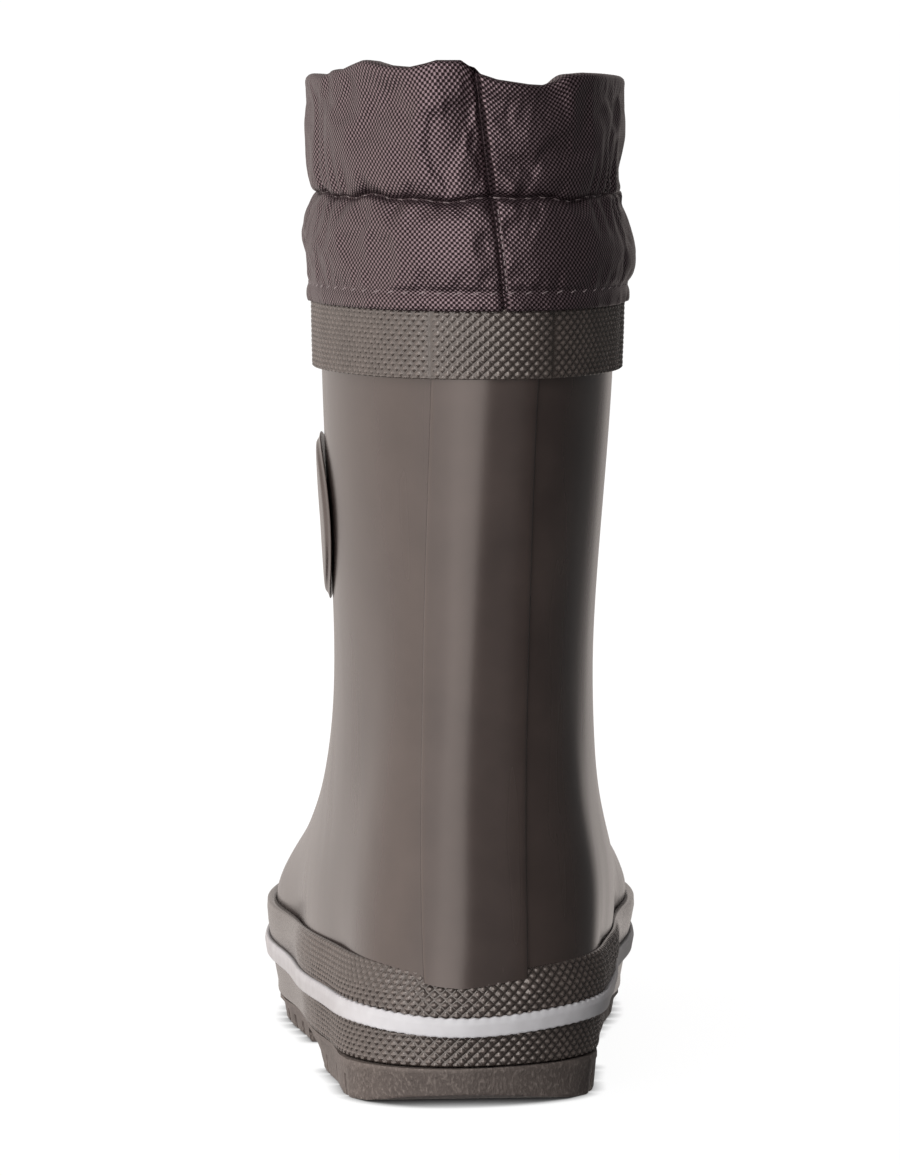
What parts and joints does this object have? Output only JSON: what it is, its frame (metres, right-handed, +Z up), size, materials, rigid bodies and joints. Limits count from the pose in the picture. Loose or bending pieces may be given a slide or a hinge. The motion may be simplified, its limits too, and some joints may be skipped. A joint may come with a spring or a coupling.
{
  "type": "lined rubber boot",
  "caption": "Child's left rubber boot with a smooth shaft, knurled foot and top bands, a pale stripe, a lugged sole and a padded fabric collar open at the top.",
  "frame": {"origin": "middle of the bounding box's base, on the floor under the boot", "axes": "+Y from heel to toe, +X toward the inner side of the foot, +Z up the shaft"},
  "size_m": [0.0826, 0.1964, 0.2083],
  "materials": {
    "upper_rubber": "glossy",
    "band_rubber": "satin, knurled",
    "stripe_rubber": "matte",
    "sole_rubber": "matte",
    "insole_foam": "matte",
    "collar_nylon": "matte woven"
  },
  "bodies": {
    "root": {"outsole": "sole_rubber", "insole": "insole_foam", "upper": "upper_rubber", "backstay": "upper_rubber", "foxing": "band_rubber", "stripe": "stripe_rubber", "top_band": "band_rubber", "collar": "collar_nylon", "badge": "upper_rubber"}
  },
  "joints": []
}
